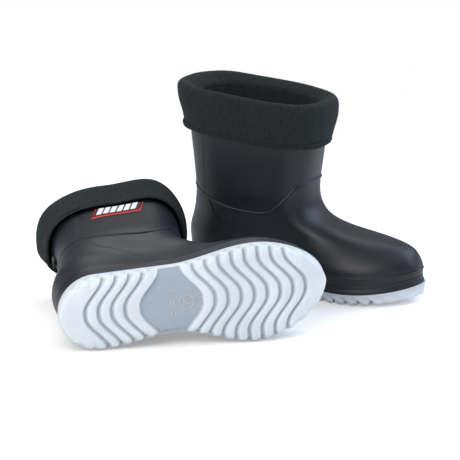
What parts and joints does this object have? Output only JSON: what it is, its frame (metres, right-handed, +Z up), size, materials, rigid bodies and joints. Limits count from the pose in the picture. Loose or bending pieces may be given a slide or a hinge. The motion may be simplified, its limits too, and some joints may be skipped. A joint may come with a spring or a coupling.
{
  "type": "lined rain boots",
  "caption": "Short pull-on rain boots with a turned-down removable fleece liner and a chevron-tread sole, one standing and one lying on its side.",
  "frame": {"origin": "middle of the standing boot's heel tread, on the floor", "axes": "+X to the right along the pair, -Y towards the viewer, +Z up"},
  "size_m": [0.3997, 0.3308, 0.2157],
  "materials": {
    "pvc_black": "satin moulded PVC",
    "pvc_frosted": "frosted translucent moulded PVC",
    "webbing": "woven",
    "badge_red": "matt",
    "badge_black": "matt",
    "badge_white": "matt",
    "insole_foam": "felted foam",
    "fleece_sole": "felt",
    "fleece": "knitted fleece",
    "fleece_hem": "stitched knitted fleece"
  },
  "bodies": {
    "left_boot": {"left_upper": "pvc_black", "left_outsole": "pvc_frosted", "left_pull_tab": "webbing", "left_badge_edge": "badge_red", "left_badge_plate": "badge_black", "left_badge_bars": "badge_white", "left_insole": "insole_foam"},
    "left_liner": {"left_liner_sole": "fleece_sole", "left_liner_foot": "fleece", "left_liner_leg": "fleece", "left_liner_cuff": "fleece", "left_liner_hem": "fleece_hem"},
    "right_boot": {"right_upper": "pvc_black", "right_outsole": "pvc_frosted", "right_pull_tab": "webbing", "right_badge_edge": "badge_red", "right_badge_plate": "badge_black", "right_badge_bars": "badge_white", "right_insole": "insole_foam"},
    "right_liner": {"right_liner_sole": "fleece_sole", "right_liner_foot": "fleece", "right_liner_leg": "fleece", "right_liner_cuff": "fleece", "right_liner_hem": "fleece_hem"}
  },
  "joints": [
    {"name": "left_liner_pull", "type": "slide", "parent": "left_boot", "child": "left_liner", "axis": [0, 0, 1], "range_m": [0, 0.22], "deforming": ["left_liner_foot", "left_liner_sole"]},
    {"name": "right_boot_lift", "type": "slide", "parent": "left_boot", "child": "right_boot", "axis": [0, 0, 1], "range_m": [0, 0.3]},
    {"name": "right_liner_pull", "type": "slide", "parent": "right_boot", "child": "right_liner", "axis": [-0.1899, 0.9769, 0.0985], "range_m": [0, 0.1], "deforming": ["right_liner_leg", "right_liner_foot", "right_liner_sole"]}
  ]
}
